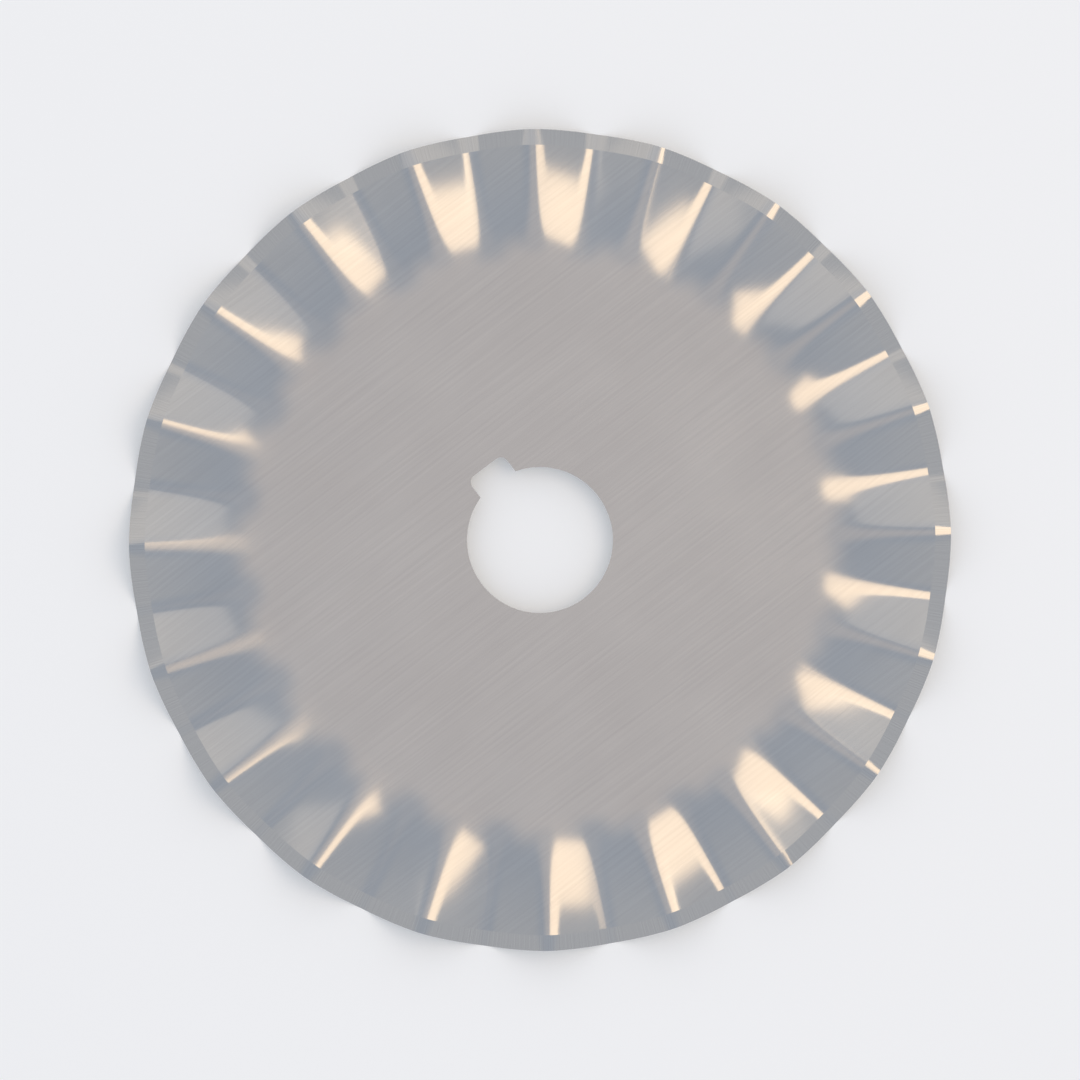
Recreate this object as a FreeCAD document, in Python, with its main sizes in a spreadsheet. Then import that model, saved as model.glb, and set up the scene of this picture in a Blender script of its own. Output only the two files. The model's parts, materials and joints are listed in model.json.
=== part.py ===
import FreeCAD, Part
import os
import Sketcher
from FreeCAD import Placement, Rotation, Vector
from math import atan, cos, degrees, pi, radians, sin, sqrt, tan

# A pinking blade for a 45 mm rotary cutter: one disc of stainless sheet with a flat centre, a bore with a
# keyway, and a rim pressed into radial flutes, so that the ground edge runs round in a zigzag.
# The origin is on the bore's axis at half the sheet's thickness. The bevel faces +Z, the keyway +Y.

document = FreeCAD.newDocument("pinking_blade")

# Driving dimensions, in millimetres and degrees
dimensions = {
    "blade_diameter": 45.0,
    "sheet_thickness": 0.3,
    "bore_diameter": 8.0,
    "keyway_width": 2.4,
    "keyway_depth": 1.0,
    "keyway_corner_radius": 0.45,
    "flute_count": 20,
    "flute_start_radius": 15.0,
    "root_bend_length": 1.0,
    "root_bend_steps": 2,
    "flank_angle": 30.0,
    "fold_width": 1.2,
    "bevel_width": 0.87,
}
sheet = document.addObject("Spreadsheet::Sheet", "sizes")
for row, (name, value) in enumerate(dimensions.items(), start=1):
    sheet.set(f"A{row}", name)
    sheet.set(f"B{row}", str(value))
    sheet.setAlias(f"B{row}", name)
document.recompute()


def size(name):
    return float(sheet.get(name))


# The sheet is pressed into one crest and one trough for each flute. A trough is a crest turned over.
# The flanks between them cross the middle plane on level lines, half way round from crest to trough.
# Each fold bends up or down from the flat centre and then climbs or falls in a straight line to the rim,
# where the flanks have their full angle.
# Distances are measured along a level line from the axis, and offsets square to the sheet from its middle.
blade_radius = size("blade_diameter") / 2
half_thickness = size("sheet_thickness") / 2
flute_count = int(size("flute_count"))
quarter_wave = pi / (2 * flute_count)
full_slope = tan(radians(size("flank_angle")))
flute_start = size("flute_start_radius")
root_bend = size("root_bend_length")
bevel_start = blade_radius - size("bevel_width")


def climb(distance):
    """A fold's height on a climb of one to one, less what the bend at its root takes away."""
    in_bend = min(distance - flute_start, root_bend)
    past_bend = distance - flute_start - in_bend
    return in_bend * in_bend / (2 * root_bend) + past_bend


def flank_slope(distance):
    """Flutes narrow towards the centre, so a flank is steeper there for its height than at the rim."""
    return full_slope * climb(distance) / climb(blade_radius) * blade_radius / distance


def turned(point, angle):
    return Rotation(Vector(0, 0, 1), degrees(angle)).multVec(point)


def crest_points(distance, offset):
    """A crest on the X axis, cut square to it: where its round starts, its top, and where its round ends."""
    slope = flank_slope(distance)
    side_angle = atan(slope * cos(quarter_wave))
    upright_offset = offset / cos(atan(slope))
    bend_y = size("fold_width") / 2 + upright_offset * sin(side_angle) * cos(side_angle)
    bend_x = (distance - bend_y * sin(quarter_wave)) / cos(quarter_wave)
    peak_z = bend_x * slope * sin(quarter_wave) + upright_offset
    bend_z = peak_z - bend_y * tan(side_angle)
    top_z = bend_z + bend_y * tan(side_angle / 2)
    return Vector(bend_x, -bend_y, bend_z), Vector(bend_x, 0, top_z), Vector(bend_x, bend_y, bend_z)


def trough_points(distance, offset):
    """The trough that follows the crest on the X axis."""
    flipped = [Vector(point.x, point.y, -point.z) for point in crest_points(distance, -offset)]
    return [turned(point, 2 * quarter_wave) for point in flipped]


def half_curves(first, middle, last):
    """The line or the arc through three points, in two halves."""
    if (middle - first).cross(last - middle).Length < 1e-9:
        halves = [(Part.LineSegment(first, middle),), (Part.LineSegment(middle, last),)]
    else:
        arc = Part.Arc(first, middle, last)
        split = arc.parameter(middle)
        halves = [(arc, arc.FirstParameter, split), (arc, split, arc.LastParameter)]
    return [Part.Edge(*half) for half in halves]


def fold_curve(first, top, last):
    """The round of a fold, which is a line at the start of the flutes."""
    if (top - first).cross(last - top).Length < 1e-9:
        return Part.LineSegment(first, last).toShape()
    return Part.Arc(first, top, last).toShape()


def wave_edges(crest, trough, next_crest, flank_middles):
    """One side of the sheet over a wave: a crest, a flank, a trough and the flank up to the next crest."""
    down = half_curves(crest[2], flank_middles[0], trough[0])
    up = half_curves(trough[2], flank_middles[1], next_crest)
    return [fold_curve(*crest)] + down + [fold_curve(*trough)] + up


def wave_section(distance, offset):
    """A wave cut square to the level lines, so that its flanks are straight."""
    crest = crest_points(distance, offset)
    trough = trough_points(distance, offset)
    next_crest = turned(crest[0], 4 * quarter_wave)
    flank_middles = (crest[2] + trough[0]) / 2, (trough[2] + next_crest) / 2
    return wave_edges(crest, trough, next_crest, flank_middles)


def rim_point(inner, outer):
    """The point at the blade's radius on the line through two points."""
    run = outer - inner
    along = run.x * run.x + run.y * run.y
    across = inner.x * run.x + inner.y * run.y
    rest = inner.x * inner.x + inner.y * inner.y - blade_radius * blade_radius
    return inner + run * ((sqrt(across * across - along * rest) - across) / along)


def cutting_edge(inner_distance, offset):
    """The edge over one wave: a side of the sheet where it reaches the blade's radius."""
    crest, trough = [
        [rim_point(*pair) for pair in zip(points(inner_distance, offset), points(blade_radius, offset))]
        for points in (crest_points, trough_points)
    ]
    level_point = Vector(blade_radius, 0, offset / cos(atan(full_slope)))
    flank_middles = turned(level_point, quarter_wave), turned(level_point, 3 * quarter_wave)
    return wave_edges(crest, trough, turned(crest[0], 4 * quarter_wave), flank_middles)


def strip(inner, outer):
    """The face between two edges, a plane where they allow one."""
    first, last = [
        Part.LineSegment(start.Point, end.Point).toShape()
        for start, end in zip(inner.Vertexes, outer.Vertexes)
    ]
    outline = Part.Wire(Part.__sortEdges__([inner, last, outer, first]))
    if outline.findPlane():
        return Part.Face(outline)
    return Part.makeRuledSurface(inner, outer)


def strips(sections):
    return [strip(*edges) for pair in zip(sections, sections[1:]) for edges in zip(*pair)]


def all_round(shapes):
    """The shapes of one wave, repeated for every flute."""
    repeated = []
    for number in range(flute_count):
        for shape in shapes:
            copy = shape.copy()
            copy.rotate(Vector(), Vector(0, 0, 1), degrees(4 * quarter_wave * number))
            repeated.append(copy)
    return repeated


def fluted_sheet():
    """The whole sheet as a solid. The bevel takes the upper side down to the edge of the lower one."""
    steps = int(size("root_bend_steps"))
    stations = [flute_start + root_bend * step / steps for step in range(steps + 1)]
    stations.append((stations[-1] + bevel_start) / 2)
    edge = cutting_edge(stations[-1], -half_thickness)
    faces = []
    for offset, distances in ((half_thickness, stations + [bevel_start]), (-half_thickness, stations)):
        sections = [wave_section(distance, offset) for distance in distances] + [edge]
        faces += all_round(strips(sections))
        faces.append(Part.Face(Part.Wire(Part.__sortEdges__(all_round(sections[0])))))
    shell = Part.Compound(faces)
    shell.sewShape(0.0001)
    return Part.makeSolid(Part.Shell(shell.Faces))


pressed_sheet = document.addObject("Part::Feature", "pressed_sheet")
pressed_sheet.Shape = fluted_sheet()

# The blade: the pressed sheet with the bore, and the keyway that keeps the blade from turning on its post
blade = document.addObject("PartDesign::Body", "blade")
blade.BaseFeature = pressed_sheet
document.recompute()


def level_sketch(name):
    """A sketch on the middle plane of the sheet."""
    middle_plane = next(item for item in blade.Origin.OriginFeatures if item.Role == "XY_Plane")
    sketch = blade.newObject("Sketcher::SketchObject", name)
    sketch.AttachmentSupport = [(middle_plane, "")]
    sketch.MapMode = "FlatFace"
    return sketch


def bind(sketch, rule, expression):
    """A constraint whose value follows an expression."""
    limit = sketch.addConstraint(Sketcher.Constraint(*rule))
    sketch.setExpression(f"Constraints[{limit}]", expression)


def cut_through(sketch, name):
    """A cut along the sketch through the whole sheet, to both sides of the middle plane."""
    pocket = blade.newObject("PartDesign::Pocket", name)
    pocket.Profile = sketch
    pocket.SideType = "Symmetric"
    pocket.Refine = False
    pocket.setExpression("Length", "2 * sizes.sheet_thickness")


bore_sketch = level_sketch("bore_outline")
bore_radius = size("bore_diameter") / 2
circle = bore_sketch.addGeometry(Part.Circle(Vector(), Vector(0, 0, 1), bore_radius), False)
bore_sketch.addConstraint(Sketcher.Constraint("Coincident", circle, 3, -1, 1))
bind(bore_sketch, ("Diameter", circle, 2 * bore_radius), "sizes.bore_diameter")
cut_through(bore_sketch, "bore")

# The keyway's outline runs from the axis out to its flat end, which has two round corners
keyway_sketch = level_sketch("keyway_outline")
side = size("keyway_width") / 2
end = bore_radius + size("keyway_depth")
corner = size("keyway_corner_radius")
foot_line, right_line, end_line, left_line = [
    keyway_sketch.addGeometry(Part.LineSegment(Vector(*first), Vector(*last)), False)
    for first, last in (
        ((-side, 0), (side, 0)),
        ((side, 0), (side, end - corner)),
        ((side - corner, end), (corner - side, end)),
        ((-side, end - corner), (-side, 0)),
    )
]
right_corner, left_corner = [
    keyway_sketch.addGeometry(
        Part.ArcOfCircle(Part.Circle(centre, Vector(0, 0, 1), corner), start, start + pi / 2), False
    )
    for centre, start in (
        (Vector(side - corner, end - corner), 0),
        (Vector(corner - side, end - corner), pi / 2),
    )
]
for rule in (
    ("Coincident", foot_line, 2, right_line, 1),
    ("Tangent", right_line, 2, right_corner, 1),
    ("Tangent", right_corner, 2, end_line, 1),
    ("Tangent", end_line, 2, left_corner, 1),
    ("Tangent", left_corner, 2, left_line, 1),
    ("Coincident", left_line, 2, foot_line, 1),
    ("Symmetric", foot_line, 1, foot_line, 2, -1, 1),
    ("Horizontal", foot_line),
    ("Vertical", right_line),
    ("Equal", right_corner, left_corner),
):
    keyway_sketch.addConstraint(Sketcher.Constraint(*rule))
keyway_reach = "sizes.bore_diameter / 2 + sizes.keyway_depth"
bind(keyway_sketch, ("DistanceX", foot_line, 1, foot_line, 2, 2 * side), "sizes.keyway_width")
bind(keyway_sketch, ("DistanceY", foot_line, 1, end_line, 1, end), keyway_reach)
bind(keyway_sketch, ("Radius", right_corner, corner), "sizes.keyway_corner_radius")
cut_through(keyway_sketch, "keyway")

blade.Label = "blade"
blade.Placement = Placement(Vector(), Rotation())
document.recompute()

for item in document.Objects:
    if "Invalid" in item.State or "Error" in item.State:
        raise RuntimeError(f"{item.Name} failed: {item.State}")
if blade.Shape.isNull() or not blade.Shape.isValid() or len(blade.Shape.Solids) != 1:
    raise RuntimeError("The blade isn't one valid solid")
if blade.Shape.Volume >= pressed_sheet.Shape.Volume:
    raise RuntimeError("The bore and the keyway cut nothing")

os.makedirs("parts", exist_ok=True)
blade.Shape.exportStep("parts/blade.step")
print(f"blade: {blade.Shape.Volume:.1f} cubic mm, {len(blade.Shape.Faces)} faces")
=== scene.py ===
import json
import math

import bpy
from mathutils import Matrix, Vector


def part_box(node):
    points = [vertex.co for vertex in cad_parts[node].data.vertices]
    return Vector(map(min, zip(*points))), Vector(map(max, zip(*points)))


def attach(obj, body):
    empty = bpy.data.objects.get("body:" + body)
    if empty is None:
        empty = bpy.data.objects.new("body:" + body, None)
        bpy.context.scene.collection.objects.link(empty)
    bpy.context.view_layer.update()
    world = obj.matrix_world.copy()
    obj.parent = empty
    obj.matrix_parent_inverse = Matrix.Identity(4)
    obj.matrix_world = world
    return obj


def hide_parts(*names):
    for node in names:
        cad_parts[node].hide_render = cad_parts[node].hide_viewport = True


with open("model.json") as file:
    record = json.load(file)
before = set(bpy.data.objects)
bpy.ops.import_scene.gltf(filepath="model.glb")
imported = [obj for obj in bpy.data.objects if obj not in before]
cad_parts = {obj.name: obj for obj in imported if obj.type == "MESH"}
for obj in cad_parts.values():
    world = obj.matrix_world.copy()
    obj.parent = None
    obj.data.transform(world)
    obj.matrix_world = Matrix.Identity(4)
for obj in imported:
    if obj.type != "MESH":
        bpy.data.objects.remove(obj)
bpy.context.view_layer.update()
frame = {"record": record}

# A 45 mm pinking blade, lying on its flutes on a pale table with the ground side up.
# The blade's sizes are in millimetres, as in the part. Everything else is in metres.
mm = 0.001
lowCorner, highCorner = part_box("blade")
boreMount = next(mount for mount in frame["record"]["mounts"] if mount["name"] == "bore")


def addNode(tree, kind, settings=None, inputs=None):
    # inputs: a socket links, anything else is set on the node's own socket
    node = tree.nodes.new(kind)
    for name, value in (settings or {}).items():
        setattr(node, name, value)
    for socket, value in (inputs or {}).items():
        if isinstance(value, bpy.types.NodeSocket):
            tree.links.new(value, node.inputs[socket])
        else:
            node.inputs[socket].default_value = value
    return node


def hexColour(code):
    # sRGB hex to the linear values that Blender works in
    channels = [int(code[place:place + 2], 16) / 255 for place in (1, 3, 5)]
    linear = [c / 12.92 if c <= 0.04045 else ((c + 0.055) / 1.055) ** 2.4 for c in channels]
    return (*linear, 1.0)


# The steel: cold-rolled, hardened stainless strip, left satin by the rolls and by tumbling after the press.
# To the eye it is a warm grey mirror gone soft, with faint straight lines from the rolls. The ground
# bevel is brighter and crisper, with marks square to the edge.
steel = {
    "colour": "#C5C2BC",
    "darkColour": "#ACA9A5",
    "roughness": (0.17, 0.21),      # smoothest and roughest places of the rolled skin
    "bevelRoughness": 0.17,
    "rollLine": 0.16,               # a roll line's width: really about 0.02, drawn coarser so that it shows
    "rollLineLength": 9.0,
    "rollLineHeight": 0.0008,
    "cloud": 7.0,                   # size of the tumbled, slightly uneven patches
    "grindLine": 0.07,              # width of a grinding mark along the edge, also coarser than real
    "grindLineHeight": 0.0014,
}


def rolledStainless():
    material = bpy.data.materials.new("rolledStainless")
    material.use_nodes = True
    tree = material.node_tree
    tree.nodes.clear()
    place = addNode(tree, "ShaderNodeTexCoord").outputs["Object"]
    ground = addNode(tree, "ShaderNodeAttribute", {"attribute_name": "groundBevel"}).outputs["Fac"]

    # roll lines run one way across the whole strip that the blade was stamped from
    lineSize = steel["rollLineLength"], steel["rollLine"], steel["rollLineLength"]
    alongRolls = addNode(tree, "ShaderNodeMapping", {}, {
        "Vector": place, "Scale": [1 / (length * mm) for length in lineSize],
    })
    rollLines = addNode(tree, "ShaderNodeTexNoise", {}, {
        "Vector": alongRolls.outputs[0], "Scale": 1.0, "Detail": 2.0, "Roughness": 0.6,
    }).outputs["Fac"]
    clouds = addNode(tree, "ShaderNodeTexNoise", {}, {
        "Vector": place, "Scale": 1 / (steel["cloud"] * mm), "Detail": 3.0, "Roughness": 0.55,
    }).outputs["Fac"]

    # grinding marks follow the edge: the angle round the bore, turned into millimetres at the rim
    flat = addNode(tree, "ShaderNodeSeparateXYZ", {}, {"Vector": place})
    angle = addNode(tree, "ShaderNodeMath", {"operation": "ARCTAN2"}, {
        0: flat.outputs["Y"], 1: flat.outputs["X"],
    })
    rimCount = highCorner.x / (steel["grindLine"] * mm)
    roundRim = addNode(tree, "ShaderNodeMath", {"operation": "MULTIPLY"}, {
        0: angle.outputs[0], 1: rimCount,
    })
    acrossBevel = addNode(tree, "ShaderNodeCombineXYZ", {}, {"X": roundRim.outputs[0]})
    grindLines = addNode(tree, "ShaderNodeTexNoise", {}, {
        "Vector": acrossBevel.outputs[0], "Scale": 1.0, "Detail": 1.0,
    }).outputs["Fac"]

    skinRoughness = addNode(tree, "ShaderNodeMapRange", {}, {
        "Value": clouds, "From Min": 0.3, "From Max": 0.7,
        "To Min": steel["roughness"][0], "To Max": steel["roughness"][1],
    }).outputs[0]
    roughness = addNode(tree, "ShaderNodeMix", {"data_type": "FLOAT"}, {
        "Factor": ground, "A": skinRoughness, "B": steel["bevelRoughness"],
    }).outputs[0]
    skinTone = addNode(tree, "ShaderNodeMix", {"data_type": "FLOAT"}, {
        "Factor": 0.5, "A": clouds, "B": rollLines,
    }).outputs[0]
    tone = addNode(tree, "ShaderNodeMix", {"data_type": "FLOAT"}, {
        "Factor": ground, "A": skinTone, "B": grindLines,
    }).outputs[0]
    colour = addNode(tree, "ShaderNodeMix", {"data_type": "RGBA"}, {
        "Factor": tone, "A": hexColour(steel["darkColour"]), "B": hexColour(steel["colour"]),
    }).outputs["Result"]
    rollBump = addNode(tree, "ShaderNodeBump", {}, {
        "Strength": 1.0, "Distance": steel["rollLineHeight"] * mm, "Height": rollLines,
    }).outputs[0]
    grindBump = addNode(tree, "ShaderNodeBump", {}, {
        "Strength": ground, "Distance": steel["grindLineHeight"] * mm,
        "Height": grindLines, "Normal": rollBump,
    }).outputs[0]
    surface = addNode(tree, "ShaderNodeBsdfPrincipled", {}, {
        "Metallic": 1.0, "Base Color": colour, "Roughness": roughness, "Normal": grindBump,
    })
    addNode(tree, "ShaderNodeOutputMaterial", {}, {"Surface": surface.outputs[0]})
    return material


# The blade's form
blade = {
    "Radius": highCorner.x / mm,
    "Thickness": boreMount["dims"]["length_mm"],
    "Bore Radius": boreMount["dims"]["r_mm"],
    "Flutes": 20,
    "Flute Start": 15.0,        # radius at which the flat centre ends
    "Root Bend": 1.0,           # over which a fold turns from flat to its steady climb
    "Flank Slope": math.tan(math.radians(30.0)),     # at the edge, half way between two folds
    "Fold Half Width": 0.6,     # half the width of a fold's round, at the middle of the sheet
    "Bevel Width": 0.87,
    "Key Width": 2.4,
    "Key Depth": 1.0,
    "Key Corner": 0.45,
}
bodyRings, bevelRings = 26, 4       # mesh cells from the centre out to the bevel, and over the bevel
foldCells = 24                      # round each fold, to half way down its flanks
boreSides, keyCornerSteps = 180, 8  # straight pieces round the bore, and round a corner of the keyway
weldDistance = 0.0005               # points nearer than this become one
sharpAngle = 17.0                   # an edge that bends by more degrees than this stays sharp


def addSide(tree, values, offset, rimOffset):
    # One side of the sheet as a round grid, raised and sunk into flutes. offset is its distance from
    # the middle of the sheet, and rimOffset what is left of that at the cutting edge.
    folds = 2 * blade["Flutes"]
    quarterWave = math.pi / folds
    rings = bodyRings + bevelRings
    grid = addNode(tree, "GeometryNodeMeshGrid", {}, {
        "Size X": rings, "Size Y": folds, "Vertices X": rings + 1, "Vertices Y": folds * foldCells + 1,
    })
    corner = addNode(tree, "GeometryNodeInputPosition").outputs[0]
    cell = addNode(tree, "ShaderNodeSeparateXYZ", {}, {"Vector": corner})
    values = dict(values, offset=offset, rimOffset=rimOffset)
    values["cellX"], values["cellY"] = cell.outputs["X"], cell.outputs["Y"]
    for result, operation, *operands in (
        # rings: one at the centre, one where the flutes start, the rest out to the edge
        ("ring", "ADD", "cellX", rings / 2),
        ("offCentre", "MINIMUM", "ring", 1.0),
        ("bodyShare", "MULTIPLY_ADD", "ring", 1 / (bodyRings - 1), -1 / (bodyRings - 1)),
        ("bodyReach", "MINIMUM", "bodyShare", 1.0),
        ("bevelShare", "MULTIPLY_ADD", "ring", 1 / bevelRings, -bodyRings / bevelRings),
        ("bevelReach", "MAXIMUM", "bevelShare", 0.0),
        ("bodyWidth", "SUBTRACT", "bevelStart", "Flute Start"),
        ("bodyRadius", "MULTIPLY_ADD", "bodyReach", "bodyWidth", "Flute Start"),
        ("fullRadius", "MULTIPLY_ADD", "bevelReach", "Bevel Width", "bodyRadius"),
        ("radius", "MULTIPLY", "fullRadius", "offCentre"),
        ("groundAway", "SUBTRACT", "rimOffset", "offset"),
        ("sideOffset", "MULTIPLY_ADD", "bevelReach", "groundAway", "offset"),
        # spokes: crowded towards the folds, with the angle from the nearest one
        ("turns", "ADD", "cellY", folds / 2),
        ("fold", "ROUND", "turns"),
        ("share", "SUBTRACT", "turns", "fold"),
        ("away", "ABSOLUTE", "share"),
        ("crowded", "MULTIPLY", "share", "away"),
        ("lean", "MULTIPLY", "crowded", 4 * quarterWave),
        ("angle", "MULTIPLY_ADD", "fold", 2 * quarterWave, "lean"),
        ("odd", "FLOORED_MODULO", "fold", 2.0),
        ("flip", "MULTIPLY_ADD", "odd", -2.0, 1.0),      # a trough is a crest turned over
        ("cosLean", "COSINE", "lean"),
        ("sinLean", "SINE", "lean"),
        ("alongFold", "MULTIPLY", "radius", "cosLean"),
        ("besideFold", "MULTIPLY", "radius", "sinLean"),
        ("across", "ABSOLUTE", "besideFold"),
        ("levelPart", "MULTIPLY", "across", math.sin(quarterWave)),
        ("levelDistance", "MULTIPLY_ADD", "alongFold", math.cos(quarterWave), "levelPart"),
        # the folds turn up from the flat centre and then climb in a straight line
        ("pastStart", "SUBTRACT", "levelDistance", "Flute Start"),
        ("fluted", "MAXIMUM", "pastStart", 0.0),
        ("inRoot", "MINIMUM", "fluted", "Root Bend"),
        ("inRootSquared", "MULTIPLY", "inRoot", "inRoot"),
        ("rootTwice", "MULTIPLY", "Root Bend", 2.0),
        ("rootPart", "DIVIDE", "inRootSquared", "rootTwice"),
        ("pastRoot", "SUBTRACT", "fluted", "inRoot"),
        ("climb", "ADD", "pastRoot", "rootPart"),
        ("fullPast", "SUBTRACT", "Radius", "Flute Start"),
        ("fullClimb", "MULTIPLY_ADD", "Root Bend", -0.5, "fullPast"),
        ("climbShare", "DIVIDE", "climb", "fullClimb"),
        ("safeDistance", "MAXIMUM", "levelDistance", 1.0),
        ("wider", "DIVIDE", "Radius", "safeDistance"),      # flutes narrow inwards, so flanks steepen
        ("rimShare", "MULTIPLY", "climbShare", "wider"),
        ("slope", "MULTIPLY", "Flank Slope", "rimShare"),
        ("stretchSquared", "MULTIPLY_ADD", "slope", "slope", 1.0),
        ("stretch", "SQRT", "stretchSquared"),
        ("crestOffset", "MULTIPLY", "sideOffset", "flip"),
        ("upright", "MULTIPLY", "crestOffset", "stretch"),
        # half the width of the fold's round on this side of the sheet
        ("sideways", "MULTIPLY", "slope", math.cos(quarterWave)),
        ("sidewaysSquared", "MULTIPLY_ADD", "sideways", "sideways", 1.0),
        ("bendTurn", "DIVIDE", "sideways", "sidewaysSquared"),
        ("bend", "MULTIPLY_ADD", "upright", "bendTurn", "Fold Half Width"),
        # the distance from the fold, which an arc rounds off inside the bend
        ("inBend", "MINIMUM", "across", "bend"),
        ("inBendSquared", "MULTIPLY", "inBend", "inBend"),
        ("steepness", "MAXIMUM", "sideways", 0.01),
        ("arcFoot", "DIVIDE", "bend", "steepness"),
        ("arcFootSquared", "MULTIPLY", "arcFoot", "arcFoot"),
        ("arcSquared", "MULTIPLY_ADD", "bend", "bend", "arcFootSquared"),
        ("arcRest", "SUBTRACT", "arcSquared", "inBendSquared"),
        ("arcTop", "SQRT", "arcRest"),
        ("arcHeight", "SUBTRACT", "arcTop", "arcFoot"),
        ("arcDrop", "DIVIDE", "arcHeight", "steepness"),
        ("outward", "MAXIMUM", "across", "bend"),
        ("rounded", "SUBTRACT", "outward", "arcDrop"),
        # from the fold the flank runs straight down to the level line and as far below it
        ("drop", "MULTIPLY", "rounded", math.cos(quarterWave)),
        ("rise", "MULTIPLY", "alongFold", math.sin(quarterWave)),
        ("reach", "SUBTRACT", "rise", "drop"),
        ("crestHeight", "MULTIPLY_ADD", "slope", "reach", "upright"),
        ("height", "MULTIPLY", "crestHeight", "flip"),
        ("cosAngle", "COSINE", "angle"),
        ("sinAngle", "SINE", "angle"),
        ("placeX", "MULTIPLY", "radius", "cosAngle"),
        ("placeY", "MULTIPLY", "radius", "sinAngle"),
    ):
        inputs = {number: values.get(operand, operand) for number, operand in enumerate(operands)}
        values[result] = addNode(tree, "ShaderNodeMath", {"operation": operation}, inputs).outputs[0]
    place = addNode(tree, "ShaderNodeCombineXYZ", {}, {
        "X": values["placeX"], "Y": values["placeY"], "Z": values["height"],
    })
    return addNode(tree, "GeometryNodeSetPosition", {}, {
        "Geometry": grid.outputs["Mesh"], "Position": place.outputs[0],
    }).outputs[0]


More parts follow.
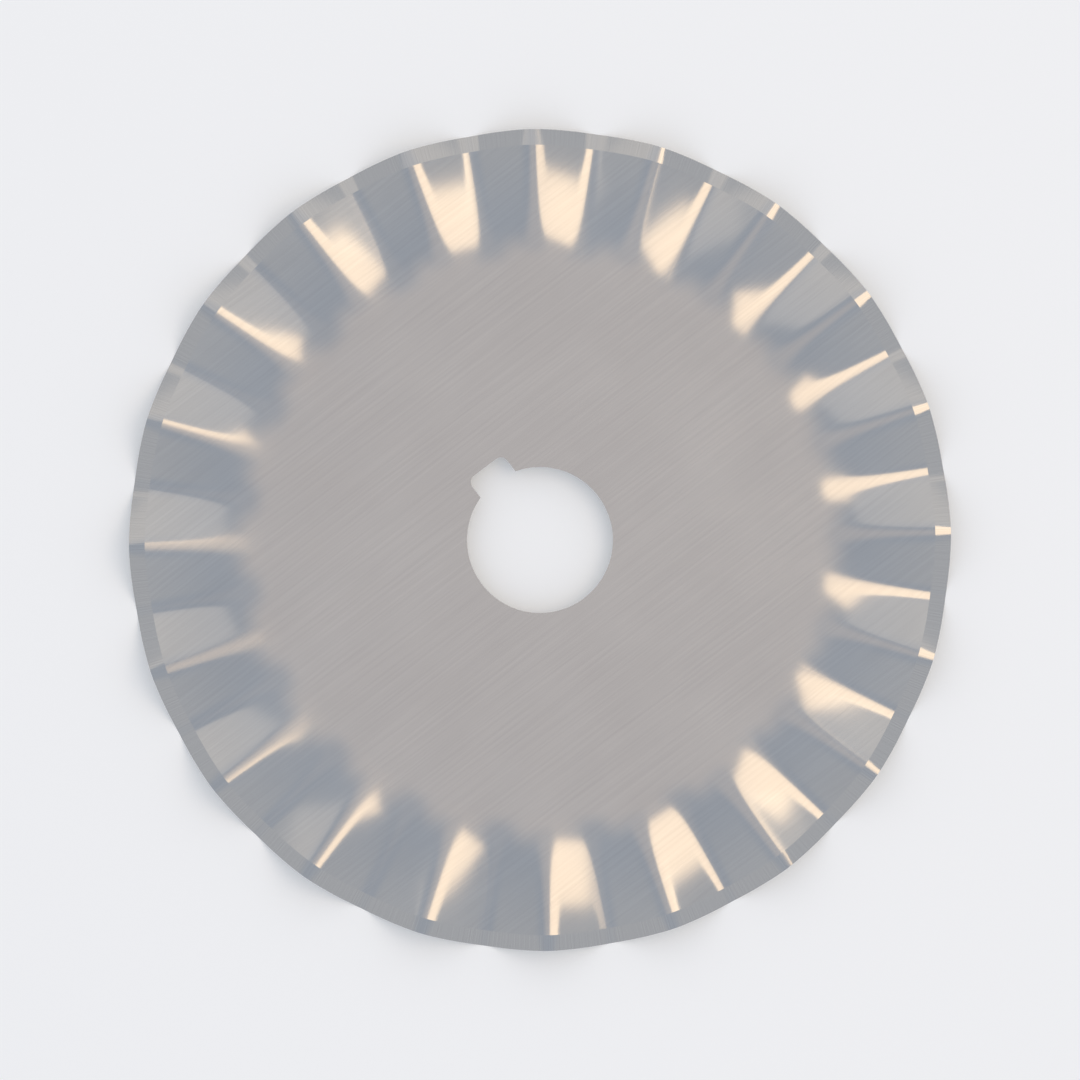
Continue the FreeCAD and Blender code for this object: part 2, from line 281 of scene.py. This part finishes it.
def bladeTree(material):
    tree = bpy.data.node_groups.new("flutedBlade", "GeometryNodeTree")
    tree.interface.new_socket("Geometry", in_out="OUTPUT", socket_type="NodeSocketGeometry")
    for name, value in blade.items():
        kind = "NodeSocketInt" if isinstance(value, int) else "NodeSocketFloat"
        tree.interface.new_socket(name, in_out="INPUT", socket_type=kind)
    given = addNode(tree, "NodeGroupInput")
    values = {name: given.outputs[name] for name in blade}
    for result, operation, first, second in (
        ("half", "MULTIPLY", "Thickness", 0.5),
        ("minusHalf", "MULTIPLY", "Thickness", -0.5),
        ("through", "MULTIPLY", "Thickness", 4.0),      # the cutting plugs reach past both sides
        ("keyReach", "ADD", "Bore Radius", "Key Depth"),
        ("keyMiddle", "MULTIPLY", "keyReach", 0.5),
        ("bevelStart", "SUBTRACT", "Radius", "Bevel Width"),
    ):
        inputs = {0: values[first], 1: values.get(second, second)}
        values[result] = addNode(tree, "ShaderNodeMath", {"operation": operation}, inputs).outputs[0]

    # the ground side comes down to the plain side at the edge, which both share
    upper = addSide(tree, values, values["half"], values["minusHalf"])
    lower = addSide(tree, values, values["minusHalf"], values["minusHalf"])
    turnedOver = addNode(tree, "GeometryNodeFlipFaces", {}, {"Mesh": lower}).outputs[0]
    joined = addNode(tree, "GeometryNodeJoinGeometry")
    tree.links.new(upper, joined.inputs[0])
    tree.links.new(turnedOver, joined.inputs[0])
    welded = addNode(tree, "GeometryNodeMergeByDistance", {}, {
        "Geometry": joined.outputs[0], "Distance": weldDistance,
    })

    # the bore, then the keyway
    borePlug = addNode(tree, "GeometryNodeMeshCylinder", {}, {
        "Vertices": boreSides, "Radius": values["Bore Radius"], "Depth": values["through"],
    })
    keyOutline = addNode(tree, "GeometryNodeCurvePrimitiveQuadrilateral", {}, {
        "Width": values["Key Width"], "Height": values["keyReach"],
    })
    keyRounded = addNode(tree, "GeometryNodeFilletCurve", {"mode": "POLY"}, {
        "Curve": keyOutline.outputs[0], "Count": keyCornerSteps, "Radius": values["Key Corner"],
    })
    keyFace = addNode(tree, "GeometryNodeFillCurve", {"mode": "NGONS"}, {"Curve": keyRounded.outputs[0]})
    keySides = addNode(tree, "GeometryNodeExtrudeMesh", {"mode": "FACES"}, {
        "Mesh": keyFace.outputs[0], "Offset Scale": values["through"], "Individual": False,
    })
    keyUnder = addNode(tree, "GeometryNodeFlipFaces", {}, {"Mesh": keyFace.outputs[0]})
    keyJoined = addNode(tree, "GeometryNodeJoinGeometry")
    tree.links.new(keySides.outputs[0], keyJoined.inputs[0])
    tree.links.new(keyUnder.outputs[0], keyJoined.inputs[0])
    keyClosed = addNode(tree, "GeometryNodeMergeByDistance", {}, {
        "Geometry": keyJoined.outputs[0], "Distance": weldDistance,
    })
    keyDown = addNode(tree, "ShaderNodeMath", {"operation": "MULTIPLY"}, {0: values["through"], 1: -0.5})
    keyPlace = addNode(tree, "ShaderNodeCombineXYZ", {}, {
        "Y": values["keyMiddle"], "Z": keyDown.outputs[0],
    })
    keyPlug = addNode(tree, "GeometryNodeTransform", {}, {
        "Geometry": keyClosed.outputs[0], "Translation": keyPlace.outputs[0],
    })
    body = welded.outputs[0]
    for plug in (borePlug.outputs["Mesh"], keyPlug.outputs[0]):
        cut = addNode(tree, "GeometryNodeMeshBoolean", {"operation": "DIFFERENCE", "solver": "EXACT"}, {
            "Mesh 1": body,
        })
        tree.links.new(plug, cut.inputs["Mesh 2"])
        body = cut.outputs[0]

    # mark the ground bevel for the material
    position = addNode(tree, "GeometryNodeInputPosition").outputs[0]
    normal = addNode(tree, "GeometryNodeInputNormal").outputs[0]
    spot = addNode(tree, "ShaderNodeSeparateXYZ", {}, {"Vector": position})
    facing = addNode(tree, "ShaderNodeSeparateXYZ", {}, {"Vector": normal})
    flatSpot = addNode(tree, "ShaderNodeCombineXYZ", {}, {"X": spot.outputs["X"], "Y": spot.outputs["Y"]})
    radius = addNode(tree, "ShaderNodeVectorMath", {"operation": "LENGTH"}, {0: flatSpot.outputs[0]})
    pastCrease = addNode(tree, "ShaderNodeMath", {"operation": "GREATER_THAN"}, {
        0: radius.outputs["Value"], 1: values["bevelStart"],
    })
    facesUp = addNode(tree, "ShaderNodeMath", {"operation": "GREATER_THAN"}, {
        0: facing.outputs["Z"], 1: 0.0,
    })
    isGround = addNode(tree, "ShaderNodeMath", {"operation": "MULTIPLY"}, {
        0: pastCrease.outputs[0], 1: facesUp.outputs[0],
    })
    marked = addNode(tree, "GeometryNodeStoreNamedAttribute", {"data_type": "FLOAT", "domain": "FACE"}, {
        "Geometry": body, "Name": "groundBevel", "Value": isGround.outputs[0],
    })

    # the creases of the bevel, the edge and the bore stay sharp
    creaseAngle = addNode(tree, "GeometryNodeInputMeshEdgeAngle")
    isRound = addNode(tree, "FunctionNodeCompare", {"operation": "LESS_THAN"}, {
        "A": creaseAngle.outputs["Unsigned Angle"], "B": math.radians(sharpAngle),
    })
    smoothFaces = addNode(tree, "GeometryNodeSetShadeSmooth", {"domain": "FACE"}, {
        "Geometry": marked.outputs[0],
    })
    smooth = addNode(tree, "GeometryNodeSetShadeSmooth", {"domain": "EDGE"}, {
        "Geometry": smoothFaces.outputs[0], "Shade Smooth": isRound.outputs[0],
    })
    inMetres = addNode(tree, "GeometryNodeTransform", {}, {
        "Geometry": smooth.outputs[0], "Scale": (mm, mm, mm),
    })
    real = addNode(tree, "GeometryNodeRealizeInstances", {}, {"Geometry": inMetres.outputs[0]})
    dressed = addNode(tree, "GeometryNodeSetMaterial", {}, {
        "Geometry": real.outputs[0], "Material": material,
    })
    addNode(tree, "NodeGroupOutput", {}, {"Geometry": dressed.outputs[0]})
    return tree


def makeBlade():
    tree = bladeTree(rolledStainless())
    holder = bpy.data.objects.new("bladeHolder", bpy.data.meshes.new("bladeHolder"))
    bpy.context.scene.collection.objects.link(holder)
    modifier = holder.modifiers.new("flutes", "NODES")
    modifier.node_group = tree
    sockets = {item.name: item.identifier for item in tree.interface.items_tree if item.in_out == "INPUT"}
    for name, value in blade.items():
        modifier[sockets[name]] = value
    evaluated = holder.evaluated_get(bpy.context.evaluated_depsgraph_get())
    mesh = bpy.data.meshes.new_from_object(evaluated)
    bpy.data.objects.remove(holder)
    piece = bpy.data.objects.new("pinkingBlade", mesh)
    bpy.context.scene.collection.objects.link(piece)
    print("blade:", len(mesh.vertices), "vertices,", len(mesh.polygons), "faces")
    return piece


pinkingBlade = makeBlade()
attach(pinkingBlade, "root")
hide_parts("blade")


# The table top: a matt white board, shown paler than the light makes it, so that the blade stands off it
table = {"size": 1.2, "colour": "#DCDCDA", "paleness": 0.23}


def makeTable():
    material = bpy.data.materials.new("mattBoard")
    material.use_nodes = True
    tree = material.node_tree
    tree.nodes.clear()
    ray = addNode(tree, "ShaderNodeLightPath")
    inMirror = addNode(tree, "ShaderNodeMath", {"operation": "MAXIMUM"}, {
        0: ray.outputs["Is Glossy Ray"], 1: ray.outputs["Is Transmission Ray"],
    })
    seen = addNode(tree, "ShaderNodeMath", {"operation": "MAXIMUM"}, {
        0: ray.outputs["Is Camera Ray"], 1: inMirror.outputs[0],
    })
    strength = addNode(tree, "ShaderNodeMath", {"operation": "MULTIPLY"}, {
        0: seen.outputs[0], 1: table["paleness"],
    })
    board = addNode(tree, "ShaderNodeBsdfDiffuse", {}, {"Color": hexColour(table["colour"])})
    paleness = addNode(tree, "ShaderNodeEmission", {}, {"Strength": strength.outputs[0]})
    surface = addNode(tree, "ShaderNodeAddShader", {}, {0: board.outputs[0], 1: paleness.outputs[0]})
    addNode(tree, "ShaderNodeOutputMaterial", {}, {"Surface": surface.outputs[0]})

    half = table["size"] / 2
    mesh = bpy.data.meshes.new("tableTop")
    corners = [(x, y, lowCorner.z) for x, y in ((-half, -half), (half, -half), (half, half), (-half, half))]
    mesh.from_pydata(corners, [], [(0, 1, 2, 3)])
    mesh.materials.append(material)
    top = bpy.data.objects.new("tableTop", mesh)
    bpy.context.scene.collection.objects.link(top)
    return top


makeTable()
print("table: laid under the blade")

# The light, by the compass of the picture: bearing 0 is the picture's right and 90 its top, and tilt is
# measured from straight up. Sizes are across and up, in metres, and power is in watts.
pictureTurn = -37.1     # how far the picture's right lies from +X, so that the keyway shows top left
lamps = {
    # a warm window, which the flanks and the folds that lean towards it mirror
    "window": {
        "bearing": 15, "tilt": 29, "distance": 0.6,
        "size": (0.40, 0.36), "power": 0.70, "colour": "#FFDFB4",
    },
    # the pale wall beyond the picture's top, which sets the flanks that face it off from the others
    "wall": {
        "bearing": 90, "tilt": 46, "distance": 0.9,
        "size": (1.7, 0.8), "power": 1.08, "colour": "#FFEFD9",
    },
}
ceiling = {
    "height": 0.8,
    "sizes": (0.20, 0.34, 0.48),    # round sheets of light over one another, brightest where all three meet
    "level": 0.32,                  # the power of each, in watts for every square metre
    "colour": "#FFD9A8",
}
# The room is paler low down, which the flutes mirror at the rim, than overhead, which they mirror at
# their roots. Heights run from 0 at the horizon to 1 straight up.
room = {
    "low": "#DBE1EC",
    "lowHeight": 0.5,
    "overhead": "#CAD5E7",
    "overheadHeight": 0.9,
}


def makeRoom():
    world = bpy.data.worlds.new("studioRoom")
    world.use_nodes = True
    tree = world.node_tree
    tree.nodes.clear()
    direction = addNode(tree, "ShaderNodeTexCoord").outputs["Generated"]
    height = addNode(tree, "ShaderNodeSeparateXYZ", {}, {"Vector": direction}).outputs["Z"]
    share = addNode(tree, "ShaderNodeMapRange", {}, {
        "Value": height, "From Min": room["lowHeight"], "From Max": room["overheadHeight"],
    }).outputs[0]
    colour = addNode(tree, "ShaderNodeMix", {"data_type": "RGBA"}, {
        "Factor": share, "A": hexColour(room["low"]), "B": hexColour(room["overhead"]),
    }).outputs["Result"]
    light = addNode(tree, "ShaderNodeBackground", {}, {"Color": colour}).outputs[0]
    addNode(tree, "ShaderNodeOutputWorld", {}, {"Surface": light})
    bpy.context.scene.world = world


def makeLamp(name, bearing, tilt, distance, size, power, colour, shape="RECTANGLE"):
    lamp = bpy.data.lights.new(name, "AREA")
    lamp.shape = shape
    lamp.size, lamp.size_y = size
    lamp.energy = power
    lamp.color = hexColour(colour)[:3]
    holder = bpy.data.objects.new(name, lamp)
    aroundUp = Matrix.Rotation(math.radians(bearing + pictureTurn - 90), 4, "Z")
    offUp = Matrix.Rotation(math.radians(-tilt), 4, "X")
    holder.matrix_world = aroundUp @ offUp @ Matrix.Translation((0, 0, distance))
    bpy.context.scene.collection.objects.link(holder)


for name, settings in lamps.items():
    makeLamp(name, **settings)
# the flat centre mirrors the ceiling, which fades outwards so that the centre fades into the flutes
for number, width in enumerate(ceiling["sizes"]):
    height = ceiling["height"] + 0.01 * number
    power = ceiling["level"] * math.pi * (width / 2) ** 2
    makeLamp(f"ceiling{number}", 0, 0, height, (width, width), power, ceiling["colour"], "ELLIPSE")

makeRoom()

# The camera looks straight down, as the photograph looks straight at the blade
view = {"distance": 0.4, "bladeShare": 0.76}       # metres, and how much of the picture the blade spans
camera = bpy.data.cameras.new("camera")
camera.sensor_width = 36
camera.lens = camera.sensor_width * view["distance"] * view["bladeShare"] / (highCorner.x - lowCorner.x)
camera.clip_start = 0.01
cameraHolder = bpy.data.objects.new("camera", camera)
cameraHolder.location = (0, 0, view["distance"])
cameraHolder.rotation_euler = (0, 0, math.radians(pictureTurn))
bpy.context.scene.collection.objects.link(cameraHolder)
bpy.context.scene.camera = cameraHolder
bpy.context.scene.view_settings.view_transform = "Standard"
print("studio: lamps and camera placed")
